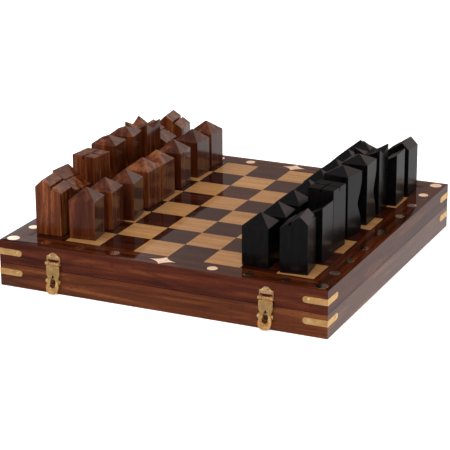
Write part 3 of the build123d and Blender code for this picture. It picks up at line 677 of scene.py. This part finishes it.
def reach_of(edge, rounds=2):
    """How far a mirrored, rounded edge lies from the slot's middle, in every direction."""
    corners = [Vector(corner) for corner in edge]
    corners += [Vector((-corner.x, corner.y)) for corner in reversed(corners)]
    for _ in range(rounds):
        corners = [a.lerp(b, share) for a, b in zip(corners, corners[1:] + corners[:1])
                   for share in (0.25, 0.75)]
    reaches = []
    for direction in directions:
        far = slot_middle + direction * 40
        hits = [intersect_line_line_2d(slot_middle, far, a, b)
                for a, b in zip(corners, corners[1:] + corners[:1])]
        reaches.append(max((hit - slot_middle).length for hit in hits if hit))
    return reaches


def smooth_step(value):
    """0 below 0, 1 above 1, and an even swing between."""
    share = min(max(value, 0.0), 1.0)
    return share * share * (3 - 2 * share)


def lean(height):
    """How far the back of the leaf stands out of the rail: flat, then kicked out to the thumb."""
    def bend(drop):
        return bend_softness * math.log(1 + math.exp(drop / bend_softness))
    return flat_out + kick_slope * bend(kick_from - height) - ease_slope * bend(ease_from - height)


def flap_point(direction, inner, along, rim, layer):
    """Sideways, outward and upward place of one corner of the flap.

    along: its way from the slot's edge. rim: its way to the nearer edge. layer: 1 front, 0 back.
    """
    place = slot_middle + direction * (inner + along)
    lip = lip_height * math.exp(-((along - lip_middle) / lip_half_width) ** 2)
    lip *= smooth_step((lip_top - place.y) / lip_fade)
    dish = dish_depth * (1 - smooth_step((place - dish_middle).length / dish_radius))
    rounding = edge_round - math.sqrt(edge_round ** 2 - max(0.0, edge_round - rim) ** 2)
    out = lean(place.y) - dish + layer * (flap_sheet + lip) + (-rounding if layer else rounding)
    return place.x, out, place.y


def flap_rings(layer):
    """Rings of corners round the slot, from its edge to the outline, on one face of the flap."""
    spokes = []
    for direction, inner, outer in zip(directions, reach_of(slot_edge), reach_of(flap_edge)):
        wide = outer - inner
        sheet = wide - edge_round - lip_rings[-1]
        ways = [*lip_rings, *(lip_rings[-1] + sheet * share for share in sheet_rings),
                wide - edge_round, wide - edge_start, wide]
        spokes.append([flap_point(direction, inner, along, min(along, wide - along), layer)
                       for along in ways])
    return list(zip(*spokes))


def knuckle_rings(pin_height):
    """Rings of corners round the pin: the bore's end, the chamfered barrel, the other end."""
    rounded = knuckle_radius - knuckle_chamfer
    half = knuckle_length / 2
    straight = 0.96 * half
    profile = ((-half, knuckle_bore), (-half, rounded), (-straight, knuckle_radius),
               (straight, knuckle_radius), (half, rounded), (half, knuckle_bore))
    steps = [2 * math.pi * k / knuckle_sides for k in range(knuckle_sides)]
    return [[(aside, pin_out + radius * math.cos(step), pin_height + radius * math.sin(step))
             for step in steps] for aside, radius in profile]


for side in ("left", "right"):
    node = f"{side}_hasp_flap"
    low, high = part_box(node)
    middle_x = (low.x + high.x) / 2
    rail_y = high.y + (pin_out - knuckle_radius) * mm
    pin_height = high.z / mm - knuckle_radius
    neck_top = pin_height - knuckle_bore
    shape = bmesh.new()
    for rings in (flap_rings(1) + flap_rings(0)[::-1], knuckle_rings(pin_height)):
        bridged(shape, [[(middle_x + aside * mm, rail_y - out * mm, height * mm)
                         for aside, out, height in ring] for ring in rings])
    neck_middle = Vector((middle_x, rail_y - pin_out * mm, (neck_foot + neck_top) / 2 * mm))
    neck_size = Vector((knuckle_length, flap_sheet, neck_top - neck_foot)) * mm
    bmesh.ops.create_cube(shape, size=1.0, matrix=Matrix.LocRotScale(neck_middle, None, neck_size))
    bmesh.ops.recalc_face_normals(shape, faces=shape.faces)
    for face in shape.faces:
        # only the neck's front and back are larger than this, and they stay flat
        face.smooth = face.calc_area() < (3 * mm) ** 2
    stand_in(shape, node + "_stamped", f"{side}_hasp", node, [flap_brass])


# ------------------------------------------------------------------------------ chess pieces
# Thirty-two pieces sawn from 24 mm square stick, a few straight cuts or one rounded one to each
# form. The edges are barely broken. One army is plain sheesham, the other is stained black.
piece_easing = 0.3 * mm
# sanded across the corners and rubbed up: a hazy shine on the sides, and dull open end grain
stick_tones = ("#38170A", "#4C210E", "#653117", "#8F522A")
sheesham_stick = lacquered_sheesham("polished sheesham sticks", 2, stick_tones, 1.0, haze=0.13,
                                    own="stick", contrast=0.72, own_range=0.36)
sheesham_end = lacquered_sheesham("sheesham end grain, dry", 2, stick_tones, 0.25, haze=0.2,
                                  own="stick", contrast=0.7, own_range=0.36)


def ebonised(name, gloss, haze):
    """Black-stained close-grained wood: the grain only shows as a faint ripple in the gloss."""
    material, tree, shader = new_material(name)
    place = add_node(tree, "ShaderNodeTexCoord").outputs["Object"]
    mapped = add_node(tree, "ShaderNodeMapping", {"Vector": place,
                                                  "Scale": (1 / (0.8 * mm), 1 / (0.8 * mm), 1 / (14 * mm))})
    fibre = add_node(tree, "ShaderNodeTexNoise", {"Vector": mapped.outputs[0], "Scale": 1.0, "Detail": 3.0})
    colour = add_node(tree, "ShaderNodeValToRGB", {"Fac": fibre.outputs["Fac"]},
                      stops=[(0.35, linear("#050405")), (0.55, linear("#0A090B")),
                             (0.75, linear("#131115"))])
    tree.links.new(colour.outputs[0], shader.inputs["Base Color"])
    rough = add_node(tree, "ShaderNodeMapRange", {"Value": fibre.outputs["Fac"], "To Min": 0.3,
                                                  "To Max": 0.5})
    tree.links.new(rough.outputs[0], shader.inputs["Roughness"])
    ripple = add_node(tree, "ShaderNodeBump", {"Height": fibre.outputs["Fac"], "Strength": 0.2,
                                               "Distance": 0.05 * mm})
    tree.links.new(ripple.outputs[0], shader.inputs["Normal"])
    shader.inputs["Specular IOR Level"].default_value = 0.0
    shader.inputs["Coat Weight"].default_value = gloss
    shader.inputs["Coat Roughness"].default_value = haze
    return material


# wax fills the grain, so the black sides have a broad grey sheen and the cut tops hardly any
ebony_stick = ebonised("ebonised sticks, rubbed with wax", 0.56, 0.22)
ebony_end = ebonised("ebonised end grain, dry", 0.12, 0.3)
stick_nodes = sorted(node for node in frame["nodes"] if node.startswith(("sheesham_", "ebony_")))
# how light the plank was that each sheesham piece came from, 0 to 1
plank = {"rook_front": 0.72, "knight_front": 0.5, "king": 0.62, "bishop_front": 0.35, "bishop_back": 0.4,
         "queen": 0.45, "knight_back": 0.5, "rook_back": 0.55, "pawn_1": 0.22, "pawn_2": 0.4,
         "pawn_3": 0.3, "pawn_4": 0.85, "pawn_5": 0.65, "pawn_6": 0.15, "pawn_7": 0.1, "pawn_8": 0.4}
for node in stick_nodes:
    army, form = node.split("_", 1)
    woods = (sheesham_stick, sheesham_end) if army == "sheesham" else (ebony_stick, ebony_end)
    piece = eased(node, "_waxed", piece_easing, woods)
    for polygon in piece.data.polygons:
        polygon.material_index = 1 if polygon.normal.z > upward else 0
    own = piece.data.attributes.new("stick", "FLOAT", "POINT")
    own.data.foreach_set("value", [plank[form]] * len(piece.data.vertices))
